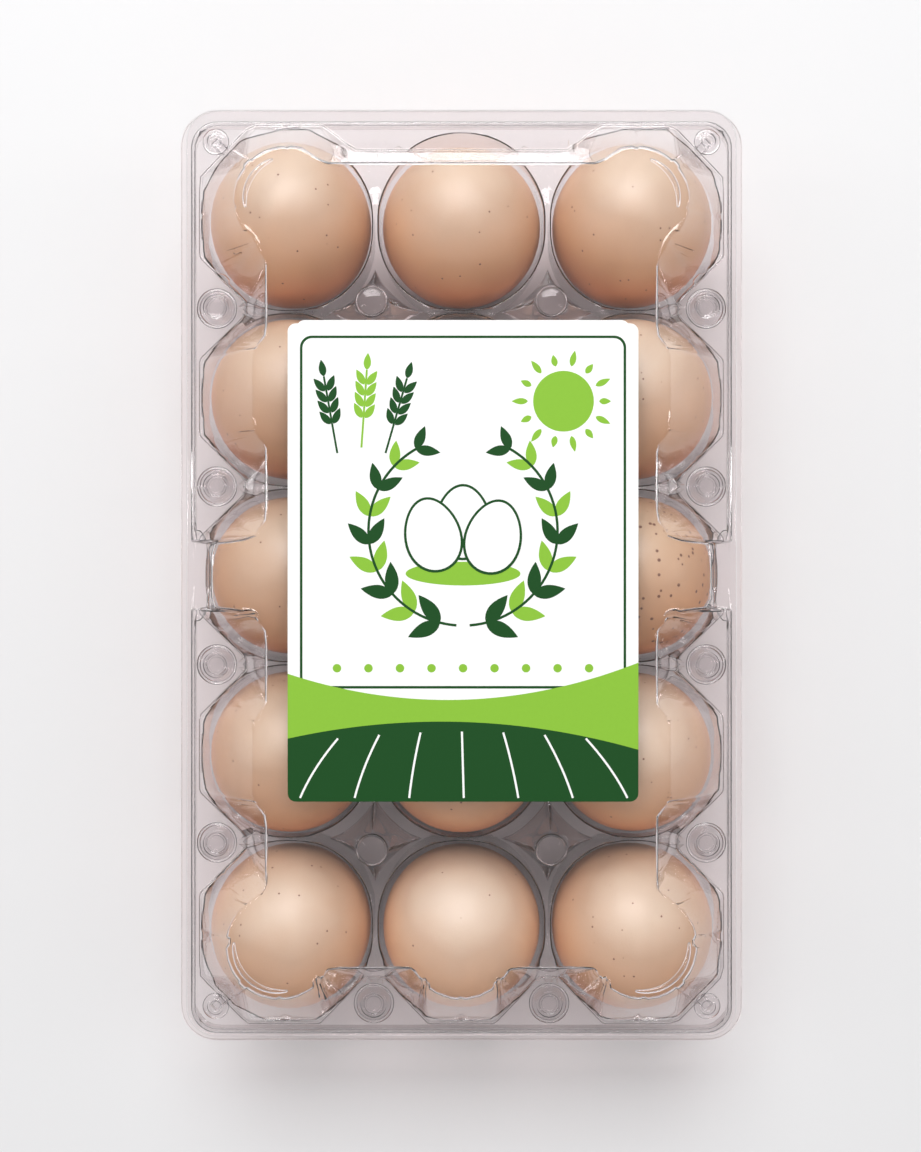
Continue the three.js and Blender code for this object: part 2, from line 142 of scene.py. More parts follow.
# Each tone's shade, its share of cells with a speck, and a speck's radius as a share of its cell
EGGSHELLS = {
    "pale": ((1.06, 1.1, 1.14), 0.12, 0.13),
    "mid": ((1.0, 1.0, 1.0), 0.26, 0.13),
    "deep": ((0.93, 0.89, 0.85), 0.25, 0.13),
    "freckled": ((0.96, 0.87, 0.77), 0.8, 0.22),
}
SPECK_COLOUR = (0.14, 0.055, 0.03, 1)
# An egg's colour from the deep painted shade of its underside to the pale painted highlight on its top, which
# leans to the back
PAINTED_LIGHT_FROM = (0.0, 0.45, 0.9)
SHELL_COLOURS_SHADE_TO_LIGHT = (
    (0.1, (0.74, 0.27, 0.115)),
    (0.5, (0.61, 0.325, 0.17)),
    (0.83, (0.445, 0.3, 0.2)),
    (0.97, (0.49, 0.385, 0.29)),
)

# Camera: height above the lid's ledge, and a 50 mm lens on a 36 mm tall frame
CAMERA_ABOVE_LEDGE = 449.5
CAMERA_X, CAMERA_Y = -0.28, -0.14


def cell_x(column):
    return (column - (COLUMNS - 1) / 2) * PITCH_X


def cell_y(row):
    return ((ROWS - 1) / 2 - row) * PITCH_Y


CELLS = [(row, column, cell_x(column), cell_y(row)) for row in range(ROWS) for column in range(COLUMNS)]


def smooth_step(value, low, high):
    t = np.clip((value - low) / (high - low), 0.0, 1.0)
    return t * t * (3 - 2 * t)


# Meshes. A grid is an array of rings, each ring an array of points in millimetres

def mesh_object(name, vertices, faces, smooth_angle=35.0):
    mesh = bpy.data.meshes.new(name)
    mesh.from_pydata([tuple(v) for v in np.asarray(vertices) * MM], [], faces)
    mesh.update()
    thing = bpy.data.objects.new(name, mesh)
    bpy.context.scene.collection.objects.link(thing)
    mesh.shade_smooth()
    if smooth_angle is not None:
        mesh.set_sharp_from_angle(angle=math.radians(smooth_angle))
    return thing


def ring_faces(rings, count, first=0, closed=True):
    """Quads between rings of count points, which face out where the rings run anticlockwise and rise."""
    faces = []
    last = count if closed else count - 1
    for ring in range(rings - 1):
        base = first + ring * count
        for i in range(last):
            j = (i + 1) % count
            faces.append((base + i, base + j, base + count + j, base + count + i))
    return faces


def closed_rings(name, rings, count):
    """A mesh of rings of count points, closed by a face over the last one."""
    faces = ring_faces(len(rings), count)
    faces.append(tuple((len(rings) - 1) * count + i for i in range(count)))
    return mesh_object(name, np.vstack(rings), faces)


def unit(vectors):
    return vectors / np.maximum(np.linalg.norm(vectors, axis=-1, keepdims=True), 1e-9)


def rounded_section(corners, bends, steps=3, guard=0.0):
    """Rings through a cross-section's corner rings.

    Each inner one is rounded over its bend, or kept where that's None. A guard adds a ring at that distance
    before and after each bend, so that the flats beside it shade flat.
    """
    rings = [corners[0]]
    for before, corner, after, bend in zip(corners, corners[1:], corners[2:], bends):
        if bend is None:
            rings.append(corner)
            continue
        back = np.linalg.norm(before - corner, axis=1, keepdims=True)
        ahead = np.linalg.norm(after - corner, axis=1, keepdims=True)
        to_back, to_ahead = unit(before - corner), unit(after - corner)
        start = corner + to_back * np.minimum(bend, 0.42 * back)
        end = corner + to_ahead * np.minimum(bend, 0.42 * ahead)
        if guard:
            rings.append(corner + to_back * np.minimum(bend + guard, 0.49 * back))
        for t in np.linspace(0, 1, steps + 1):
            rings.append((1 - t) ** 2 * start + 2 * t * (1 - t) * corner + t * t * end)
        if guard:
            rings.append(corner + to_ahead * np.minimum(bend + guard, 0.49 * ahead))
    rings.append(corners[-1])
    return np.array(rings)


def at_height(points, z):
    return np.column_stack([points, np.broadcast_to(z, len(points))])


def rounded_rectangle(square, half_x, back, front, corner):
    """Points of the unit square's edge, taken to a rectangle with round corners."""
    u, v = square[:, 0], square[:, 1]
    x = u * half_x
    y = np.where(v > 0, v * back, v * front)
    inner_x, inner_back, inner_front = half_x - corner, back - corner, front - corner
    over_x = np.abs(x) - inner_x
    over_y = np.where(y > 0, y - inner_back, -y - inner_front)
    in_corner = (over_x > 0) & (over_y > 0)
    on_side = over_x >= over_y
    share = np.where(on_side, over_y / corner / 2, 1 - over_x / corner / 2)
    angle = np.clip(share, 0, 1) * math.pi / 2
    corner_x = np.sign(x) * (inner_x + corner * np.cos(angle))
    corner_y = np.where(y > 0, inner_back + corner * np.sin(angle), -inner_front - corner * np.sin(angle))
    return np.column_stack([np.where(in_corner, corner_x, x), np.where(in_corner, corner_y, y)])


SIDE_STEPS = 20


def square_ring():
    """Points of the unit square's edge, anticlockwise from its lower right corner."""
    t = np.linspace(-1, 1, SIDE_STEPS, endpoint=False)
    one = np.ones(SIDE_STEPS)
    return np.vstack([np.column_stack(side) for side in ((one, t), (-t, one), (-one, -t), (t, -one))])


def thicken(thing):
    """The sheet's thickness, below the modelled surface."""
    modifier = thing.modifiers.new("sheet", "SOLIDIFY")
    modifier.thickness = SHEET * MM
    modifier.offset = -1
    modifier.use_quality_normals = True
    modifier.material_offset_rim = 1
    return thing


def join(name, parts):
    bpy.ops.object.select_all(action="DESELECT")
    for part in parts:
        part.select_set(True)
    bpy.context.view_layer.objects.active = parts[0]
    bpy.ops.object.join()
    parts[0].name = name
    return parts[0]


# The lid's dome. A wall point is (foot x, foot y, top x, top y, rim u, rim v)

def arc_points(centre, radius, start, end, steps):
    angles = np.radians(np.linspace(start, end, steps + 1))
    return np.column_stack([centre[0] + radius * np.cos(angles), centre[1] + radius * np.sin(angles)])


def wall_stretch(foot_from, foot_to, rim_from, rim_to, centre, start, end, steps=16):
    share = np.linspace(0, 1, steps + 1)[:, None]
    foot = (1 - share) * np.array(foot_from) + share * np.array(foot_to)
    rim = (1 - share) * np.array(rim_from) + share * np.array(rim_to)
    return np.hstack([foot, arc_points(centre, DOME_RADIUS, start, end, steps), rim])


def side_point(foot_x, foot_y, top_x, top_y):
    extent = LID_STEP["back"] if foot_y > 0 else LID_STEP["front"]
    return np.array([[foot_x, foot_y, top_x, top_y, 1.0, foot_y / extent]])


def end_point(foot_x, foot_y, top_x, top_y):
    return np.array([[foot_x, foot_y, top_x, top_y, foot_x / LID_STEP["x"], math.copysign(1.0, foot_y)]])


def right_wall():
    """The wall's right half, from the middle of the back clockwise to the middle of the front."""
    half_x, back, front = LID_STEP["x"], LID_STEP["back"], LID_STEP["front"]
    first_bay = cell_y(0) - PITCH_Y / 2 + SIDE_BAY["mouth"]
    last_bay = cell_y(ROWS - 2) - PITCH_Y / 2 - SIDE_BAY["mouth"]
    chamfer_x, chamfer_y = BACK_CHAMFER
    middle = ((chamfer_x + FOOT_X) / 2, (chamfer_y + FOOT_BACK) / 2)
    wall = [
        end_point(0, FOOT_BACK_MIDDLE, 0, 111.4),
        end_point(30.4, FOOT_BACK_MIDDLE, 37.4, 111.4),
        wall_stretch((38.6, FOOT_BACK), (chamfer_x, FOOT_BACK), (38.6 / half_x, 1), (chamfer_x / half_x, 1),
                     BACK_DOME, 106, 63),
        wall_stretch((chamfer_x, FOOT_BACK), middle, (chamfer_x / half_x, 1), (1, 1), BACK_DOME, 63, 42),
        wall_stretch(middle, (FOOT_X, chamfer_y), (1, 1), (1, chamfer_y / back), BACK_DOME, 42, 21),
        wall_stretch((FOOT_X, chamfer_y), (FOOT_X, first_bay), (1, chamfer_y / back), (1, first_bay / back),
                     BACK_DOME, 21, -53.5),
    ]
    for row in range(ROWS - 1):
        y = cell_y(row) - PITCH_Y / 2
        if row:
            wall.append(side_point(FOOT_X, y + SIDE_BAY["mouth"], SIDE_TOP, y + SIDE_BAY["mouth"]))
        for side in (1, -1):
            foot_y, top_y = y + side * SIDE_BAY["floor"], y + side * SIDE_BAY["top_half"]
            wall.append(side_point(SIDE_BAY["depth"], foot_y, SIDE_BAY["top"], top_y))
        if row < ROWS - 2:
            wall.append(side_point(FOOT_X, y - SIDE_BAY["mouth"], SIDE_TOP, y - SIDE_BAY["mouth"]))
        if row + 1 == ROWS // 2:
            for end in (1, -1):
                box = [side_point(fx, end * fy, tx, end * ty) for fx, fy, tx, ty in FINGER_BOX]
                wall.extend(box[::end])
    chamfer_x, chamfer_y = FRONT_CHAMFER
    middle = ((chamfer_x + FOOT_X) / 2, -(chamfer_y + FOOT_FRONT) / 2)
    bay_edge = PITCH_X / 2 + FRONT_BAY["mouth"]
    wall += [
        wall_stretch((FOOT_X, last_bay), (FOOT_X, -chamfer_y), (1, last_bay / front), (1, -chamfer_y / front),
                     FRONT_DOME, 47.9, -26.8),
        wall_stretch((FOOT_X, -chamfer_y), middle, (1, -chamfer_y / front), (1, -1),
                     FRONT_DOME, -26.8, -46.8),
        wall_stretch(middle, (chamfer_x, -FOOT_FRONT), (1, -1), (chamfer_x / half_x, -1),
                     FRONT_DOME, -46.8, -66.8),
        wall_stretch((chamfer_x, -FOOT_FRONT), (bay_edge, -FOOT_FRONT), (chamfer_x / half_x, -1),
                     (bay_edge / half_x, -1), FRONT_DOME, -66.8, -136.8),
    ]
    for side in (1, -1):
        wall.append(end_point(PITCH_X / 2 + side * FRONT_BAY["floor"], -FRONT_BAY["depth"],
                              PITCH_X / 2 + side * FRONT_BAY["top_half"], -FRONT_BAY["top"]))
    inner = PITCH_X / 2 - FRONT_BAY["mouth"]
    wall.append(wall_stretch((inner, -FOOT_FRONT), (0, -FOOT_FRONT), (inner / half_x, -1), (0, -1),
                             (0, FRONT_DOME[1]), -45.3, -90))
    return np.vstack(wall)


def without_repeats(points):
    step = np.abs(np.roll(points, -1, axis=0) - points).max(axis=1)
    return points[step > 1e-6]


def wall_length(points):
    """Distance along the closed wall, by whichever of foot, top and rim moves furthest."""
    ahead = np.roll(points, -1, axis=0) - points
    scale = np.array([1, 1, 1, 1, LID_STEP["x"], LID_STEP["front"]])
    steps = np.linalg.norm((ahead * scale).reshape(-1, 3, 2), axis=2).max(axis=1)
    return np.concatenate([[0], np.cumsum(steps)])


def resampled(points, distances, places):
    closed = np.vstack([points, points[:1]])
    return np.column_stack([np.interp(places, distances, closed[:, i]) for i in range(points.shape[1])])


def blurred(values, reach):
    """A running mean over a closed list."""
    kernel = np.hanning(2 * reach + 3)[1:-1]
    kernel /= kernel.sum()
    padded = np.vstack([values[-reach:], values, values[:reach]])
    return np.column_stack([np.convolve(padded[:, i], kernel, mode="valid") for i in range(values.shape[1])])


def inward(points):
    """Unit normals of a closed anticlockwise outline, towards its inside."""
    tangent = np.roll(points, -1, axis=0) - np.roll(points, 1, axis=0)
    return unit(np.column_stack([-tangent[:, 1], tangent[:, 0]]))


# Ribs in the dome's wall, right half: top point, foot point, half width, and depth, which is below nought
# for the cusps that stand out at the chamfers
RIBS = (
    ((61.9, 99.6), (71.6, 100.8), 0.45, 0.47),
    ((47.2, 115.8), (49.4, 126.0), 0.45, 0.43),
    ((57.4, 91.6), (66.4, 83.6), 1.4, 0.88),
    ((55.4, 60.4), (66.3, 67.6), 0.45, 0.43),
    ((56.4, 40.4), (66.3, 33.2), 0.45, 0.43),
    ((57.3, 12.6), (66.0, 17.6), 0.45, 0.43),
    ((57.0, -11.6), (65.6, -15.6), 1.3, 0.88),
    ((56.1, -38.2), (66.3, -32.6), 0.45, 0.43),
    ((56.1, -60.3), (66.3, -66.8), 0.45, 0.43),
    ((58.6, -89.5), (65.6, -84.3), 0.45, 0.47),
    ((63.3, -99.0), (72.6, -101.2), 1.1, 0.75),
    ((49.2, -114.2), (49.3, -125.4), 0.45, 0.47),
    ((39.0, -109.6), (34.4, -118.6), 1.25, 0.88),
    ((9.9, -110.1), (14.8, -119.0), 1.25, 0.88),
    ((0.0, -114.2), (0.0, -125.4), 0.45, 0.43),
    ((57.6, 111.1), (66.3, 118.9), 1.25, -0.5),
    ((58.9, -110.4), (66.7, -118.9), 1.25, -0.5),
)
# Points round the wall, which lie closer by this factor at the ribs
WALL_SAMPLES, RIB_DENSITY = 640, 5.0
# A low bead along the foot of the dome's wall, and the lip turned along each sheet's outer edge
FOOT_BEAD = {"out": 0.42, "height": 0.24}
EDGE_LIP = 0.45
WALL_LEVELS = (0.0, 0.2, 0.4, 0.6, 0.8, 1.0)
# Bends of the lid's section, from its edge to its panel, and of the tray's from its edge to the ledge
LID_BENDS = (0.2, 0.3, 0.45, 0.15, 0.12, 0.2, None, None, None, None, 0.9, 0.5)
RIM_BENDS = (0.2, 0.3, 0.35)
BEND_GUARD = 0.15


def run_length(points):
    """Distance along a closed outline, at each of its points, and all the way round."""
    steps = np.linalg.norm(np.roll(points, -1, axis=0) - points, axis=1)
    return np.concatenate([[0], np.cumsum(steps)])


def gap_along(lengths, nearest):
    gap = np.abs(lengths[:-1] - lengths[nearest])
    return np.minimum(gap, lengths[-1] - gap)


def wall_level(wall, share):
    return (1 - share) * wall[:, 0:2] + share * wall[:, 2:4]


def ribbed(wall):
    """How deep the ribs are pressed in at each level of the wall, and how finely it's sampled there."""
    depths = np.zeros((len(wall), len(WALL_LEVELS)))
    density = np.ones(len(wall))
    for i, share in enumerate(WALL_LEVELS):
        ring = wall_level(wall, share)
        lengths = run_length(ring)
        for top, foot, half_width, rib_depth in RIBS:
            for side in ((1, -1) if top[0] else (1,)):
                target = ((1 - share) * np.array(foot) + share * np.array(top)) * np.array([side, 1])
                nearest = np.argmin(((ring - target) ** 2).sum(axis=1))
                gap = gap_along(lengths, nearest)
                depths[:, i] += rib_depth * (1 - smooth_step(gap, half_width - 0.2, half_width + 0.3))
                density = np.maximum(density, RIB_DENSITY * (gap < half_width + 0.8))
    return depths, density


def dome_wall():
    """Foot, top and rim points round the whole dome, and the ribs' depth at each."""
    right = right_wall()
    left = right[::-1] * np.array([-1, 1, -1, 1, -1, 1])
    sharp = without_repeats(np.vstack([right, left]))
    distances = wall_length(sharp)
    fine = resampled(sharp, distances, np.arange(0, distances[-1], 0.2))
    rounded = blurred(fine[:, :4], 6)
    fine = np.hstack([rounded, fine[:, 4:]])
    distances = wall_length(fine)
    depths, density = ribbed(fine)
    cumulative = np.concatenate([[0], np.cumsum(density * np.diff(distances))])
    places = np.interp(np.linspace(0, cumulative[-1], WALL_SAMPLES, endpoint=False), cumulative, distances)
    wall = resampled(np.column_stack([fine, depths]), distances, places)
    return wall[::-1]


def make_lid_shell():
    wall = dome_wall()
    top, rim = wall[:, 2:4], wall[:, 4:6]
    into_top = inward(top)
    side_y = rim[:, 1] * np.where(rim[:, 1] > 0, LID_STEP["back"], LID_STEP["front"])
    in_gap = 1 - smooth_step(np.abs(side_y), FINGER_GAP_HALF - 0.1, FINGER_GAP_HALF + 0.5)
    in_gap = in_gap * (np.abs(rim[:, 0]) > 0.99)
    ledge_z = LID_LEDGE_Z + (LID_FLANGE_Z + 0.05 - LID_LEDGE_Z) * in_gap

    def step_ring(outwards):
        sizes = [LID_STEP[key] + outwards for key in ("x", "back", "front", "corner")]
        return rounded_rectangle(rim, *sizes)

    edge = rounded_rectangle(rim, LID_HALF_X, LID_BACK, LID_FRONT, LID_CORNER)
    foot = wall_level(wall, 0)
    corners = [
        at_height(edge, LID_FLANGE_Z + EDGE_LIP),
        at_height(edge, LID_FLANGE_Z),
        at_height(step_ring(STEP_DRAFT), LID_FLANGE_Z),
        at_height(step_ring(0), ledge_z),
        at_height(foot - inward(foot) * (FOOT_BEAD["out"] + 0.08), ledge_z),
        at_height(foot - inward(foot) * FOOT_BEAD["out"], ledge_z + FOOT_BEAD["height"]),
    ]
    above_bead = FOOT_BEAD["height"] / (LID_TOP_Z - LID_LEDGE_Z)
    for i, share in enumerate(WALL_LEVELS):
        share = max(share, above_bead)
        level = wall_level(wall, share)
        pressed = level + inward(level) * wall[:, 6 + i:7 + i]
        corners.append(at_height(pressed, ledge_z + (LID_TOP_Z - ledge_z) * share))
    corners.append(at_height(blurred(top + into_top * 1.5, 3), LID_TOP_Z - 0.3))
    corners.append(at_height(blurred(top + into_top * 2.6, 5), LID_TOP_Z - 0.3))
    return closed_rings("lid_shell", rounded_section(corners, LID_BENDS, guard=BEND_GUARD), len(top))


def make_stud(x, y, z, size, grow=0.0):
    """A hollow stud with a sunken disc on top, as a surface of revolution that stands at height z."""
    angles = np.linspace(0, 2 * math.pi, STUD_SIDES, endpoint=False)
    circle = np.column_stack([np.cos(angles), np.sin(angles)])
    centre = np.array([x, y])
    rings = [at_height(centre + circle * radius, z + rise) for radius, rise in stud_profile(size, grow)]
    return closed_rings("stud", rings, STUD_SIDES)


def bent_profile(points, bend):
    corners = [np.array([[radius, 0.0, z]]) for radius, z in points]
    rings = rounded_section(corners, [bend] * (len(points) - 2))
    return [(ring[0, 0], ring[0, 2]) for ring in rings]


def stud_profile(size, grow):
    """Radius and height from a stud's skirt to its middle."""
    radius, taper, height = size["radius"] + grow, size["taper"], size["height"]
    inner = radius - taper
    points = [
        (radius + 0.7, 0.03),
        (radius, 0.03),
        (inner, height),
        (inner - 0.8, height),
        (inner - 1.0, height - 0.25),
        (0.4, height - 0.25),
    ]
    return bent_profile(points, 0.22)


def stud_places():
    for side in (-1, 1):
        for row in range(ROWS - 1):
            yield side * STUD["x"], cell_y(row) - PITCH_Y / 2
        yield side * STUD["front_x"], -STUD["front_y"]


PAD = {"x": 67.9, "back": 120.4, "front": 119.7, "half_long": 2.3, "half_wide": 1.45, "corner": 0.7}
# From a pad's skirt to its flat top: growth and height
PAD_PROFILE = ((0.2, 0.03), (0.0, 0.03), (-0.35, 0.5), (-1.0, 0.5))


def corner_pad(side, y_sign):
    """The low pad on the ledge between a corner stud and the dome's chamfer."""
    square = square_ring()
    centre = np.array([side * PAD["x"], y_sign * (PAD["back"] if y_sign > 0 else PAD["front"])])
    along = unit(np.array([side * 1.0, y_sign * 1.0]))
    across = np.array([-along[1], along[0]])
    corners = []
    for grow, z in PAD_PROFILE:
        half_long, half_wide = PAD["half_long"] + grow, PAD["half_wide"] + grow
        local = rounded_rectangle(square, half_long, half_wide, half_wide, max(PAD["corner"] + grow, 0.1))
        points = centre + local[:, :1] * along + local[:, 1:] * across
        corners.append(at_height(points, LID_LEDGE_Z + z))
    return closed_rings("pad", rounded_section(corners, (0.15, 0.2)), len(square))


# Each crescent's centre and radius, and its half sweep and middle in degrees
CRESCENTS = {"front": (FRONT_DOME, 12.4, 52, -48), "back": (BACK_DOME, 11.6, 40, 30)}
CRESCENT_STEPS = 40
# Across a crescent: share of its half width, and lift
CRESCENT_PROFILE = (
    (-1.0, 0.0),
    (-0.8, 0.35),
    (-0.45, 0.55),
    (0.0, 0.6),
    (0.45, 0.55),
    (0.8, 0.35),
    (1.0, 0.0),
)


def crescent(side, y_sign):
    """A crescent ridge pressed up in the panel over a corner egg."""
    centre, radius, reach, middle = CRESCENTS["front" if y_sign < 0 else "back"]
    angles = np.radians(np.linspace(middle - reach, middle + reach, CRESCENT_STEPS))
    swell = np.sin(np.linspace(0, math.pi, CRESCENT_STEPS)) ** 0.5
    rings = []
    for share, lift in CRESCENT_PROFILE:
        reach_out = radius + share * (0.25 + 0.55 * swell)
        x = side * (centre[0] + reach_out * np.cos(angles))
        y = centre[1] + reach_out * np.sin(angles)
        rings.append(np.column_stack([x, y, LID_TOP_Z - 0.32 + lift * swell]))
    faces = ring_faces(len(rings), CRESCENT_STEPS, closed=False)
    if side > 0:
        faces = [face[::-1] for face in faces]
    return mesh_object("crescent", np.array(rings).reshape(-1, 3), faces)


def make_lid(material, cut_edge):
    parts = [make_lid_shell()]
    for x, y in stud_places():
        parts.append(make_stud(x, y, LID_LEDGE_Z, STUD))
    for side in (-1, 1):
        for y_sign, y in ((1, CORNER_STUD["back"]), (-1, CORNER_STUD["front"])):
            parts.append(make_stud(side * CORNER_STUD["x"], y_sign * y, LID_LEDGE_Z, CORNER_STUD))
            parts.append(corner_pad(side, y_sign))
            parts.append(crescent(side, y_sign))
    lid = thicken(join("lid_sheet", parts))
    lid.data.materials.append(material)
    lid.data.materials.append(cut_edge)
    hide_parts("lid")
    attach(lid, "lid")


# The tray: one patch of rings round each cup, a band round the block of cells, and the posts

def terrain(x, y):
    """Height of the tray's upper face outside the cups."""
    off_x = (x + PITCH_X * (COLUMNS / 2)) % PITCH_X - PITCH_X / 2
    off_y = (y + PITCH_Y * (ROWS / 2)) % PITCH_Y - PITCH_Y / 2
    between_rows = (np.abs(off_y) > STRIP["from_y"]) & (np.abs(y) < BLOCK_Y - 5)
    between_columns = (np.abs(off_x) > STRIP["from_x"]) & (np.abs(x) < BLOCK_X - 5)
    along = np.where(between_rows, np.abs(off_x), np.where(between_columns, np.abs(off_y), 99))
    strip = 1 - smooth_step(along, STRIP["half"], STRIP["half"] + STRIP["bevel"])
    past_inner = (np.abs(x) - LEDGE_INNER["x"], y - LEDGE_INNER["back"], -y - LEDGE_INNER["front"])
    over = np.maximum.reduce(past_inner)
    in_gap = (np.abs(y) < FINGER_GAP_HALF + 0.9) & (np.abs(x) > 70)
    ledge = smooth_step(over, 0.0, LEDGE_RISE) * (1 - in_gap)
    return LAND_Z + (STRIP_Z - LAND_Z) * strip * (1 - ledge) + (TRAY_LEDGE_Z - LAND_Z) * ledge


def cup_share(z):
    return 1 - (1 - CUP["floor_share"]) * (1 - np.clip(z / LAND_Z, 0, 1)) ** 5


def reach_to_foot_line(centre, directions, foot_line):
    """Distance from a cup's middle to the dome's foot line along each unit direction."""
    ahead = np.roll(foot_line, -1, axis=0) - foot_line
    offset = foot_line - centre
    nearest = np.full(len(directions), 99.0)
    for i, (dx, dy) in enumerate(directions):
        cross = dx * ahead[:, 1] - dy * ahead[:, 0]
        cross = np.where(np.abs(cross) < 1e-9, 1e-9, cross)
        distance = (offset[:, 0] * ahead[:, 1] - offset[:, 1] * ahead[:, 0]) / cross
        share = (offset[:, 0] * dy - offset[:, 1] * dx) / cross
        hits = distance[(share >= 0) & (share <= 1) & (distance > 0)]
        if len(hits):
            nearest[i] = hits.min()
    return nearest


def cup_patch(x, y, foot_line):
    """Rings from one cell's edge over its rim and down the cup to the floor."""
    square = square_ring()
    centre = np.array([x, y])
    cell = centre + square * np.array([PITCH_X / 2, PITCH_Y / 2])

    def outline(share, grow=0.0):
        sizes = [CUP[key] * share + grow for key in ("x", "y", "y", "corner")]
        return centre + rounded_rectangle(square, *sizes)

    mouth = outline(1.0, 0.1)
    on_ledge = smooth_step(terrain(mouth[:, 0], mouth[:, 1]), LAND_Z + 1.2, TRAY_LEDGE_Z - 0.5)
    on_ledge *= smooth_step(np.abs(mouth[:, 1]), FINGER_GAP_HALF + 1, FINGER_GAP_HALF + 5)
    radius = np.linalg.norm(mouth - centre, axis=1)
    reach = reach_to_foot_line(centre, unit(mouth - centre), foot_line) - BRIM_INSET
    radius_there = radius + np.clip(reach - radius, 0, BRIM_REACH) * on_ledge
    brim = centre + (mouth - centre) * (radius_there / radius)[:, None]
    rings = []
    for t in (0.0, 0.35, 0.7):
        ring = cell * (1 - t) + brim * t
        rings.append(at_height(ring, terrain(ring[:, 0], ring[:, 1])))
    rim_z = terrain(brim[:, 0], brim[:, 1])
    corners = [rings[-1], at_height(brim, rim_z)]
    for z in CUP_LEVELS:
        corners.append(at_height(outline(cup_share(z)), z))
    for share, rise in ((1, 0), (0.6, 0), (0.5, CUP["floor_dome"]), (0.2, CUP["floor_dome"])):
        corners.append(at_height(outline(CUP["floor_share"] * share), SHEET + rise))
    wall = rounded_section(corners[:3], [0.55], 4)[1:-1]
    floor = rounded_section(corners[-5:], [1.2, 0.5, 0.5], 2)[1:]
    return np.concatenate([np.array(rings), wall, np.array(corners[2:-4]), floor])


def make_cups():
    vertices, faces = [], []
    count = 4 * SIDE_STEPS
    foot_line = dome_wall()[::4, 0:2]
    for row, column, x, y in CELLS:
        rings = cup_patch(x, y, foot_line)
        first = sum(len(v) for v in vertices)
        vertices.append(rings.reshape(-1, 3))
        faces += ring_faces(len(rings), count, first)
        faces.append(tuple(first + (len(rings) - 1) * count + i for i in range(count)))
    return mesh_object("cups", np.vstack(vertices), faces)


def block_edge():
    """The edge of the whole block of cells, on the unit square, with the cells' own steps."""
    across = np.linspace(-1, 1, COLUMNS * SIDE_STEPS, endpoint=False)
    along = np.linspace(-1, 1, ROWS * SIDE_STEPS, endpoint=False)
    sides = (
        (np.ones_like(along), along),
        (-across, np.ones_like(across)),
        (-np.ones_like(along), -along),
        (across, -np.ones_like(across)),
    )
    return np.vstack([np.column_stack(side) for side in sides])


def make_rim():
    square = block_edge()
    inner = square * np.array([BLOCK_X, BLOCK_Y])
    step = [TRAY_STEP[key] for key in ("x", "back", "front", "corner")]
    foot = [size + STEP_DRAFT for size in step]
    edge = rounded_rectangle(square, TRAY_HALF_X, TRAY_HALF_Y, TRAY_HALF_Y, TRAY_CORNER)
    height = terrain(inner[:, 0], inner[:, 1])
    corners = [
        at_height(edge, LAND_Z - EDGE_LIP),
        at_height(edge, LAND_Z),
        at_height(rounded_rectangle(square, *foot), LAND_Z),
        at_height(rounded_rectangle(square, *step), height),
        at_height(inner, height),
    ]
    rings = rounded_section(corners, RIM_BENDS, guard=BEND_GUARD)
    return mesh_object("rim", rings.reshape(-1, 3), ring_faces(len(rings), len(square)))


def make_post(x, y):
    """A post with a round disc on top and four ridges that run down to the lands."""
    angles = np.linspace(0, 2 * math.pi, POST_SIDES, endpoint=False)
    c, s = np.cos(angles), np.sin(angles)
    power = POST["foot_power"]
    reach = (np.abs(c / POST["reach_x"]) ** power + np.abs(s / POST["reach_y"]) ** power) ** (-1 / power)
    rings = []
    for drop in POST_DROPS:
        share = drop ** (1 / POST["flank_power"])
        radius = POST["disc"] + (reach - POST["disc"]) * share
        z = POST_Z - (POST_Z - LAND_Z - 0.03) * drop
        rings.append(np.column_stack([x + radius * c, y + radius * s, np.full(POST_SIDES, z)]))
    for share, z in POST_DISC_PROFILE:
        disc = POST["disc"] * share
        rings.append(np.column_stack([x + disc * c, y + disc * s, np.full(POST_SIDES, POST_Z + z)]))
    return closed_rings("post", rings, POST_SIDES)


def make_tray(material, cut_edge):
    cups = join("cups", [make_cups(), make_rim()])
    weld = cups.modifiers.new("weld", "WELD")
    weld.merge_threshold = 0.02 * MM
    bpy.context.view_layer.objects.active = cups
    bpy.ops.object.modifier_apply(modifier="weld")
    parts = [cups]
    for row, column, x, y in CELLS:
        if row + 1 < ROWS and column + 1 < COLUMNS:
            parts.append(make_post(x + PITCH_X / 2, y - PITCH_Y / 2))
    for x, y in stud_places():
        parts.append(make_stud(x, y, TRAY_LEDGE_Z, STUD, grow=-0.8))
    tray = thicken(join("tray_sheet", parts))
    tray.data.materials.append(material)
    tray.data.materials.append(cut_edge)
    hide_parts("tray")
    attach(tray, "tray")


# Eggs

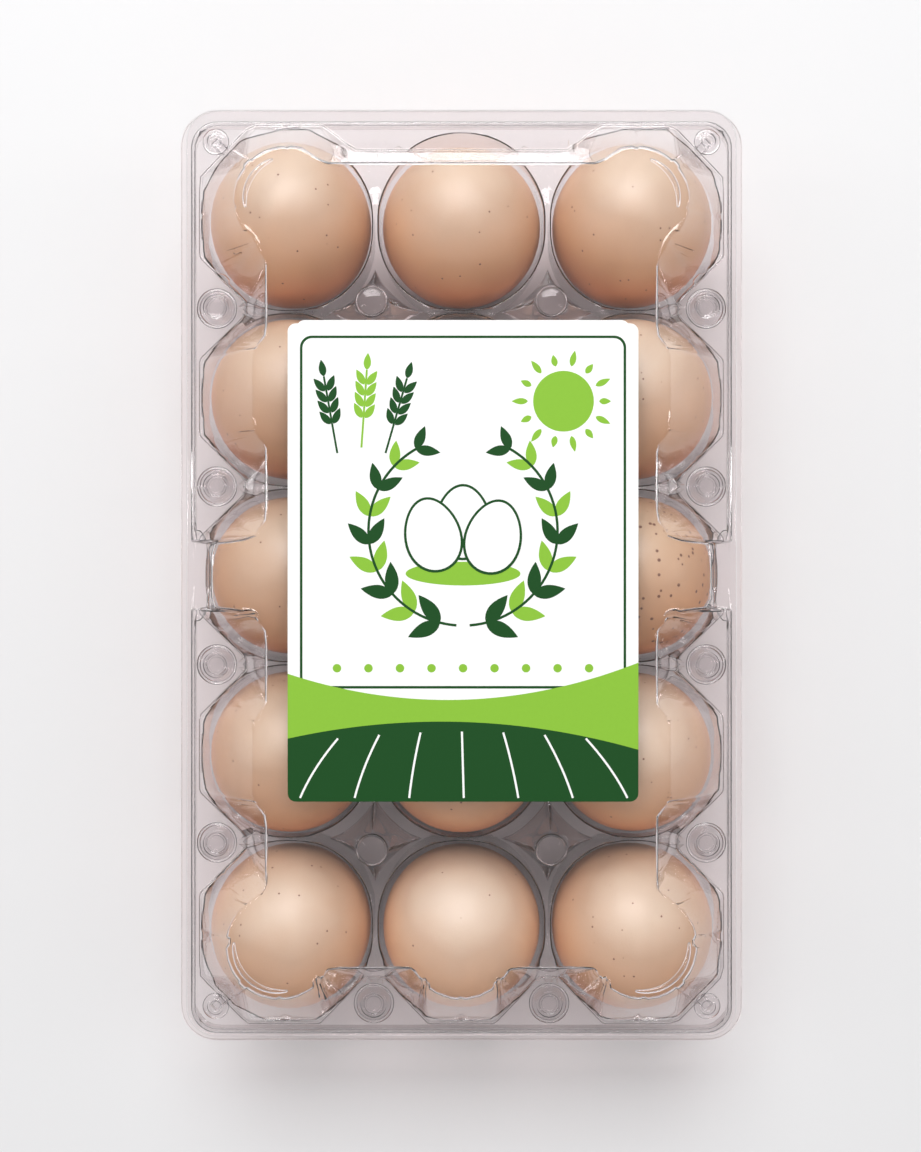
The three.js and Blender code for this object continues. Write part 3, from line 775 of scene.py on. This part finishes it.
def make_egg(row, column, x, y, material):
    width, height = EGG_WIDTHS[row][column], EGG_HEIGHTS[row][column]
    lean = math.radians(-EGG_LEANS[row][column])
    angles = np.linspace(0, 2 * math.pi, EGG_SIDES, endpoint=False)
    rings = []
    for t in np.linspace(0, math.pi, EGG_STEPS + 1)[1:-1]:
        radius = width / 2 * math.sin(t) * (1 - EGG_BLUNTNESS * math.cos(t))
        z = -height / 2 * math.cos(t)
        rings.append(at_height(radius * np.column_stack([np.cos(angles), np.sin(angles)]), z))
    points = np.vstack(rings + [[[0, 0, -height / 2], [0, 0, height / 2]]])
    turn = np.array([[1, 0, 0], [0, math.cos(lean), -math.sin(lean)], [0, math.sin(lean), math.cos(lean)]])
    points = points @ turn.T + np.array([x, y + EGG_OFFSETS[row], EGG_REST_Z + height / 2])
    faces = ring_faces(len(rings), EGG_SIDES)
    bottom, top = len(points) - 2, len(points) - 1
    last = (len(rings) - 1) * EGG_SIDES
    for i in range(EGG_SIDES):
        j = (i + 1) % EGG_SIDES
        faces.append((bottom, j, i))
        faces.append((top, last + i, last + j))
    node = f"egg_r{row + 1}_c{column + 1}"
    egg = mesh_object(f"shell_r{row + 1}_c{column + 1}", points, faces, smooth_angle=None)
    egg.data.materials.append(material)
    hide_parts(node)
    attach(egg, "tray")


# Materials

def new_material(name):
    material = bpy.data.materials.new(name)
    material.use_nodes = True
    nodes = material.node_tree.nodes
    return material, nodes, material.node_tree.links, nodes["Principled BSDF"]


# What each face of a clear sheet lets through to a shadow
SHADOW_TINT = (0.93, 0.9, 0.9, 1)


def clear_plastic(name, tint, ior):
    """Clear sheet with faint waves in it, which lets light straight through in shadows."""
    material, nodes, links, shader = new_material(name)
    shader.inputs["Base Color"].default_value = (*tint, 1)
    shader.inputs["Roughness"].default_value = 0.0
    shader.inputs["IOR"].default_value = ior
    shader.inputs["Transmission Weight"].default_value = 1.0
    waves = nodes.new("ShaderNodeTexNoise")
    waves.inputs["Scale"].default_value = 38
    waves.inputs["Detail"].default_value = 0
    bump = nodes.new("ShaderNodeBump")
    bump.inputs["Strength"].default_value = 0.06
    bump.inputs["Distance"].default_value = 0.002
    coordinates = nodes.new("ShaderNodeTexCoord")
    links.new(coordinates.outputs["Object"], waves.inputs["Vector"])
    links.new(waves.outputs["Fac"], bump.inputs["Height"])
    links.new(bump.outputs["Normal"], shader.inputs["Normal"])
    through = nodes.new("ShaderNodeBsdfTransparent")
    through.inputs["Color"].default_value = SHADOW_TINT
    path = nodes.new("ShaderNodeLightPath")
    mix = nodes.new("ShaderNodeMixShader")
    links.new(path.outputs["Is Shadow Ray"], mix.inputs[0])
    links.new(shader.outputs[0], mix.inputs[1])
    links.new(through.outputs[0], mix.inputs[2])
    links.new(mix.outputs[0], nodes["Material Output"].inputs["Surface"])
    return material


def eggshell(name, shade, specks, speck_radius):
    """Shell with painted shade that deepens away from a painted highlight on its top, with soft blotches,
    fine pores and brown specks.
    """
    material, nodes, links, shader = new_material(name)
    coordinates = nodes.new("ShaderNodeTexCoord")
    # Painted shade and light: the colour pales to a painted highlight towards the top and back, and deepens
    # to painted shade on the underside and front
    towards_painted_light = nodes.new("ShaderNodeVectorMath")
    towards_painted_light.operation = "DOT_PRODUCT"
    towards_painted_light.inputs[1].default_value = [2 * part for part in PAINTED_LIGHT_FROM]
    links.new(coordinates.outputs["Generated"], towards_painted_light.inputs[0])
    place = nodes.new("ShaderNodeMapRange")
    place.inputs["From Min"].default_value = sum(PAINTED_LIGHT_FROM) - 0.4
    place.inputs["From Max"].default_value = sum(PAINTED_LIGHT_FROM) + 1.05
    links.new(towards_painted_light.outputs["Value"], place.inputs["Value"])
    blotch = nodes.new("ShaderNodeTexNoise")
    blotch.inputs["Scale"].default_value = 70
    blotch.inputs["Detail"].default_value = 4
    links.new(coordinates.outputs["Object"], blotch.inputs["Vector"])
    uneven = nodes.new("ShaderNodeMath")
    uneven.operation = "MULTIPLY_ADD"
    uneven.inputs[1].default_value = 0.16
    uneven.inputs[2].default_value = -0.08
    share = nodes.new("ShaderNodeMath")
    share.operation = "ADD"
    links.new(blotch.outputs["Fac"], uneven.inputs[0])
    links.new(uneven.outputs[0], share.inputs[0])
    links.new(place.outputs["Result"], share.inputs[1])
    # The ramp runs from painted shade to painted highlight, and each blotch shifts it a little
    ramp = nodes.new("ShaderNodeValToRGB")
    stops = ramp.color_ramp.elements
    stops.new(0.5)
    stops.new(0.8)
    for stop, (position, colour) in zip(stops, SHELL_COLOURS_SHADE_TO_LIGHT):
        stop.position = position
        stop.color = (*[c * s for c, s in zip(colour, shade)], 1)
    links.new(share.outputs[0], ramp.inputs["Fac"])
    cells = nodes.new("ShaderNodeTexVoronoi")
    cells.inputs["Scale"].default_value = 380
    dot = nodes.new("ShaderNodeMapRange")
    dot.inputs["From Min"].default_value = 0.7 * speck_radius
    dot.inputs["From Max"].default_value = speck_radius
    dot.inputs["To Min"].default_value = 1.0
    dot.inputs["To Max"].default_value = 0.0
    chosen = nodes.new("ShaderNodeMath")
    chosen.operation = "GREATER_THAN"
    chosen.inputs[1].default_value = 1 - specks
    picked = nodes.new("ShaderNodeMath")
    picked.operation = "MULTIPLY"
    separate = nodes.new("ShaderNodeSeparateColor")
    links.new(coordinates.outputs["Object"], cells.inputs["Vector"])
    links.new(cells.outputs["Distance"], dot.inputs["Value"])
    links.new(cells.outputs["Color"], separate.inputs[0])
    links.new(separate.outputs[0], chosen.inputs[0])
    links.new(dot.outputs["Result"], picked.inputs[0])
    links.new(chosen.outputs[0], picked.inputs[1])
    mix = nodes.new("ShaderNodeMix")
    mix.data_type = "RGBA"
    mix.inputs["B"].default_value = SPECK_COLOUR
    links.new(picked.outputs[0], mix.inputs["Factor"])
    links.new(ramp.outputs["Color"], mix.inputs["A"])
    links.new(mix.outputs["Result"], shader.inputs["Base Color"])
    pores = nodes.new("ShaderNodeTexNoise")
    pores.inputs["Scale"].default_value = 1400
    pores.inputs["Detail"].default_value = 2
    bump = nodes.new("ShaderNodeBump")
    bump.inputs["Strength"].default_value = 0.15
    bump.inputs["Distance"].default_value = 0.0002
    links.new(coordinates.outputs["Object"], pores.inputs["Vector"])
    links.new(pores.outputs["Fac"], bump.inputs["Height"])
    links.new(bump.outputs["Normal"], shader.inputs["Normal"])
    shader.inputs["Roughness"].default_value = 0.42
    return material


def plain_ink(name, colour, roughness=0.4, gloss=0.5):
    material, nodes, links, shader = new_material(name)
    grain = nodes.new("ShaderNodeTexNoise")
    grain.inputs["Scale"].default_value = 900
    coordinates = nodes.new("ShaderNodeTexCoord")
    links.new(coordinates.outputs["Object"], grain.inputs["Vector"])
    ramp = nodes.new("ShaderNodeValToRGB")
    ramp.color_ramp.elements[0].color = (*[0.96 * c for c in colour], 1)
    ramp.color_ramp.elements[1].color = (*colour, 1)
    links.new(grain.outputs["Fac"], ramp.inputs["Fac"])
    links.new(ramp.outputs["Color"], shader.inputs["Base Color"])
    shader.inputs["Roughness"].default_value = roughness
    shader.inputs["Specular IOR Level"].default_value = gloss
    return material


# The label and its print

def plates(name, outlines, z, thickness, material):
    """Flat plates, one for each outline, with their upper faces at z and each a hair above the last."""
    vertices, faces = [], []
    for i, outline in enumerate(outlines):
        points = np.asarray(outline)
        first, count = len(vertices), len(points)
        vertices.extend(at_height(points, z - thickness))
        vertices.extend(at_height(points, z + 0.0002 * i))
        faces += ring_faces(2, count, first)
        faces.append(tuple(range(first + count, first + 2 * count)))
        faces.append(tuple(range(first + count - 1, first - 1, -1)))
    thing = mesh_object(name, vertices, faces)
    thing.data.materials.append(material)
    return thing


def rounded_box(left, right, front, back, corner):
    turns = ((right, back, 0), (left, back, 90), (left, front, 180), (right, front, 270))
    points = []
    for x, y, start in turns:
        centre = (x + (corner if x == left else -corner), y + (corner if y == front else -corner))
        points.append(arc_points(centre, corner, start, start + 90, 8))
    return np.vstack(points)


def oval(x, y, half_x, half_y, turn=0.0, steps=48, blunt=0.0):
    """An oval, fuller towards its far end when blunt is above nought."""
    angle = np.linspace(0, 2 * math.pi, steps, endpoint=False)
    local = np.column_stack([half_x * np.cos(angle) * (1 - blunt * np.sin(angle)), half_y * np.sin(angle)])
    return placed(local, x, y, turn)


def placed(local, x, y, turn):
    c, s = math.cos(math.radians(turn)), math.sin(math.radians(turn))
    return local @ np.array([[c, s], [-s, c]]) + np.array([x, y])


def leaf(x, y, length, width, turn):
    """A pointed leaf from its stalk end, pointing along its turn."""
    t = np.linspace(0, 1, 12)
    half = width / 2 * np.sin(math.pi * t ** 0.8) ** 0.9
    upper = np.column_stack([t * length, half])
    lower = np.column_stack([t[-2:0:-1] * length, -half[-2:0:-1]])
    return placed(np.vstack([lower[::-1], upper[::-1]]), x, y, turn)


def band(points, width):
    """A stroke of even width along an open line."""
    points = np.asarray(points, dtype=float)
    along = np.gradient(points, axis=0)
    side = unit(np.column_stack([-along[:, 1], along[:, 0]])) * width / 2
    return np.vstack([points - side, (points + side)[::-1]])


WREATH_RADIUS = 25.5


def wreath_leaves(x, y, first):
    """Every second pair of leaves along both arms of an open wreath."""
    leaves = []
    for side in (-1, 1):
        for i in range(first, 9, 2):
            angle = math.radians(-90 + side * (14 + 17 * i))
            heading = math.degrees(angle) + side * 90
            place = (x + WREATH_RADIUS * math.cos(angle), y + WREATH_RADIUS * math.sin(angle))
            size = 9.5 - 0.35 * i
            leaves.append(leaf(*place, size, 0.42 * size, heading + 38))
            leaves.append(leaf(*place, size, 0.42 * size, heading - 38))
    return leaves


def hill(left_y, middle_y, right_y):
    """A rolling field across the foot of the label, under a curved skyline."""
    left, right, front, _ = LABEL
    x = np.linspace(left, right, 40)
    t = (x - left) / (right - left)
    y = left_y * (1 - t) * (1 - 2 * t) + middle_y * 4 * t * (1 - t) + right_y * t * (2 * t - 1)
    turns = [arc_points((left + LABEL_CORNER, front + LABEL_CORNER), LABEL_CORNER, 180, 270, 7),
             arc_points((right - LABEL_CORNER, front + LABEL_CORNER), LABEL_CORNER, 270, 360, 7)]
    return np.vstack(turns + [np.column_stack([x, y])[::-1]])


def furrows():
    """Pale rows ploughed down the dark field."""
    rows = []
    for i in range(7):
        t = (i + 0.5) / 7
        top = np.array([LABEL[0] + 8 + 78 * t, -44.5 + 2.4 * math.sin(math.pi * t)])
        foot = np.array([LABEL[0] - 4 + 103 * t, -60.0])
        foot[0] = min(max(foot[0], LABEL[0] + 2), LABEL[1] - 2)
        bend = (top + foot) / 2 + np.array([4 * (t - 0.5), 0])
        s = np.linspace(0, 1, 10)[:, None]
        rows.append(band((1 - s) ** 2 * top + 2 * s * (1 - s) * bend + s * s * foot, 0.55))
    return rows


def sprig(x, y, turn, pairs):
    """An ear of grain with its stalk's foot at x and y: its grains, and its stalk."""
    grains = [leaf(*placed(np.array([[0.0, 9.0 + 3.0 * pairs]]), x, y, turn)[0], 4.6, 2.0, turn + 90)]
    for i in range(pairs):
        for side in (-1, 1):
            foot = placed(np.array([[side * 0.4, 8.0 + 3.0 * i]]), x, y, turn)[0]
            grains.append(leaf(*foot, 4.6, 2.0, turn + 90 - side * 32))
    stalk = placed(np.column_stack([np.zeros(6), np.linspace(0, 9 + 3.0 * pairs, 6)]), x, y, turn)
    return grains, band(stalk, 0.55)


def make_print(white, light, dark):
    """Fields under a sun, a wreath round three eggs, and ears of grain, in three inks."""
    middle_x, wreath_y = 0.4, 12.0
    frame_outer = rounded_box(-43.6, 44.4, -30.5, 64.7, 3.2)
    frame_inner = rounded_box(-42.9, 43.7, -29.8, 64.0, 2.6)
    light_fields = [hill(-26.5, -33.5, -23.5)]
    dark_fields = [hill(-44.0, -39.5, -47.0)]
    sun_x, sun_y = 27.5, 47.0
    light_shapes = [oval(sun_x, sun_y, 8.2, 8.2)]
    dark_shapes = []
    for i in range(14):
        angle = i * 360 / 14
        start = placed(np.array([[9.6, 0.0]]), sun_x, sun_y, angle)[0]
        light_shapes.append(leaf(*start, 4.4 if i % 2 else 3.2, 1.7, angle))
    light_shapes += wreath_leaves(middle_x, wreath_y, 1)
    dark_shapes += wreath_leaves(middle_x, wreath_y, 0)
    for side in (-1, 1):
        arm = arc_points((middle_x, wreath_y), WREATH_RADIUS, -90 + side * 4, -90 + side * 152, 39)
        dark_shapes.append(band(arm, 0.7))
    light_shapes.append(oval(middle_x, wreath_y - 11.5, 15.5, 3.2))
    for i, (x, turn) in enumerate(((-33.5, 10), (-27.0, -4), (-20.5, -16))):
        grains, stalk = sprig(x, 33.0 + 1.5 * (i % 2), turn, 4)
        (dark_shapes if i % 2 == 0 else light_shapes).extend(grains + [stalk])
    for i in range(9):
        x = -33.6 + 8.5 * i
        light_shapes.append(oval(x, -25.0, 1.15, 1.15, steps=20))
    layers = [
        ("print_frame", [frame_outer], 0.02, dark),
        ("print_inside", [frame_inner], 0.04, white),
        ("print_light_field", light_fields, 0.06, light),
        ("print_dark_field", dark_fields, 0.08, dark),
        ("print_light", light_shapes, 0.06, light),
        ("print_dark", dark_shapes, 0.08, dark),
        ("print_furrows", furrows(), 0.1, white),
    ]
    for i, (x, y, turn) in enumerate(((0.0, 3.4, 0), (-8.2, 0.0, 14), (8.2, -0.6, -14))):
        place = (middle_x + x, wreath_y - 1.0 + y)
        layers.append(("print_egg_line", [oval(*place, 7.8, 10.3, turn, blunt=0.12)], 0.1 + 0.04 * i, dark))
        layers.append(("print_egg", [oval(*place, 7.1, 9.6, turn, blunt=0.12)], 0.12 + 0.04 * i, white))
    for name, outlines, lift, ink in layers:
        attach(plates(name, outlines, LABEL_Z + lift, INK_THICKNESS, ink), "lid")


def make_label(paper):
    under_outline = rounded_box(*UNDER_LABEL, LABEL_CORNER)
    upper_outline = rounded_box(*LABEL, LABEL_CORNER)
    under = plates("under", [under_outline], UNDER_LABEL_Z, UNDER_LABEL_THICKNESS, paper)
    upper = plates("upper", [upper_outline], LABEL_Z, LABEL_THICKNESS, paper)
    label = join("label_paper", [under, upper])
    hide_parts("label")
    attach(label, "lid")


# Stage and light

# The floor lies just below the tray
FLOOR_HALF, FLOOR_Z = 3000, -0.4


def make_stage():
    corners = [(x * FLOOR_HALF, y * FLOOR_HALF, FLOOR_Z) for x, y in ((-1, -1), (1, -1), (1, 1), (-1, 1))]
    floor = mesh_object("floor", corners, [(0, 1, 2, 3)])
    material, nodes, links, shader = new_material("floor_white")
    grain = nodes.new("ShaderNodeTexNoise")
    grain.inputs["Scale"].default_value = 3
    coordinates = nodes.new("ShaderNodeTexCoord")
    ramp = nodes.new("ShaderNodeValToRGB")
    ramp.color_ramp.elements[0].color = (0.765, 0.765, 0.773, 1)
    ramp.color_ramp.elements[1].color = (0.785, 0.785, 0.793, 1)
    links.new(coordinates.outputs["Object"], grain.inputs["Vector"])
    links.new(grain.outputs["Fac"], ramp.inputs["Fac"])
    links.new(ramp.outputs["Color"], shader.inputs["Base Color"])
    shader.inputs["Roughness"].default_value = 0.6
    floor.data.materials.append(material)


def area_light(name, place, target, size, power):
    data = bpy.data.lights.new(name, "AREA")
    data.shape = "RECTANGLE"
    data.size, data.size_y = size
    data.energy = power
    light = bpy.data.objects.new(name, data)
    bpy.context.scene.collection.objects.link(light)
    light.location = place
    light.rotation_euler = (Vector(target) - Vector(place)).to_track_quat("-Z", "Y").to_euler()


def make_light():
    world = bpy.data.worlds.new("studio")
    bpy.context.scene.world = world
    world.use_nodes = True
    nodes, links = world.node_tree.nodes, world.node_tree.links
    coordinates = nodes.new("ShaderNodeTexCoord")
    lean = nodes.new("ShaderNodeVectorMath")
    lean.operation = "DOT_PRODUCT"
    lean.inputs[1].default_value = (0.0, 0.75, 0.66)
    ramp = nodes.new("ShaderNodeValToRGB")
    ramp.color_ramp.elements[0].position = 0.0
    ramp.color_ramp.elements[0].color = (0.46, 0.435, 0.44, 1)
    ramp.color_ramp.elements[1].position = 1.0
    ramp.color_ramp.elements[1].color = (1.0, 1.0, 1.0, 1)
    half = nodes.new("ShaderNodeMapRange")
    half.inputs["From Min"].default_value = -1.0
    background = nodes["Background"]
    background.inputs["Strength"].default_value = 0.56
    links.new(coordinates.outputs["Generated"], lean.inputs[0])
    links.new(lean.outputs["Value"], half.inputs["Value"])
    links.new(half.outputs["Result"], ramp.inputs["Fac"])
    links.new(ramp.outputs["Color"], background.inputs["Color"])
    area_light("back_softbox", (-0.1, 1.12, 1.4), (0, 0.02, 0.03), (1.2, 0.9), 24.0)
    for side in (-1, 1):
        area_light("side_strip", (side * 1.1, 0.1, 0.95), (0, 0, 0.03), (0.04, 1.6), 2.2)
    area_light("front_strip", (0, -1.3, 1.0), (0, 0, 0.03), (1.2, 0.04), 1.2)


def make_camera():
    data = bpy.data.cameras.new("camera")
    data.sensor_fit = "VERTICAL"
    data.sensor_height = 36
    data.lens = 50
    camera = bpy.data.objects.new("camera", data)
    bpy.context.scene.collection.objects.link(camera)
    height = (LID_LEDGE_Z + CAMERA_ABOVE_LEDGE) * MM
    camera.location = (CAMERA_X * MM, CAMERA_Y * MM, height)
    camera.rotation_euler = (0, 0, 0)
    bpy.context.scene.camera = camera


bpy.context.scene.view_settings.view_transform = "Standard"
edge = plain_ink("cut_edge", (0.7, 0.68, 0.69), 0.3)
make_tray(clear_plastic("clear_tray", (0.965, 0.925, 0.926), 1.42), edge)
make_lid(clear_plastic("clear_lid", (0.97, 0.955, 0.96), 1.48), edge)
shells = {tone: eggshell(f"eggshell_{tone}", *look) for tone, look in EGGSHELLS.items()}
for row, column, x, y in CELLS:
    make_egg(row, column, x, y, shells[EGG_TONES[row][column]])
white_paper = plain_ink("paper", (0.95, 0.955, 0.945))
make_label(white_paper)
light_green = plain_ink("light_green", (0.255, 0.52, 0.045), gloss=0.2)
dark_green = plain_ink("dark_green", (0.012, 0.072, 0.016), gloss=0.15)
make_print(white_paper, light_green, dark_green)
make_stage()
make_light()
make_camera()
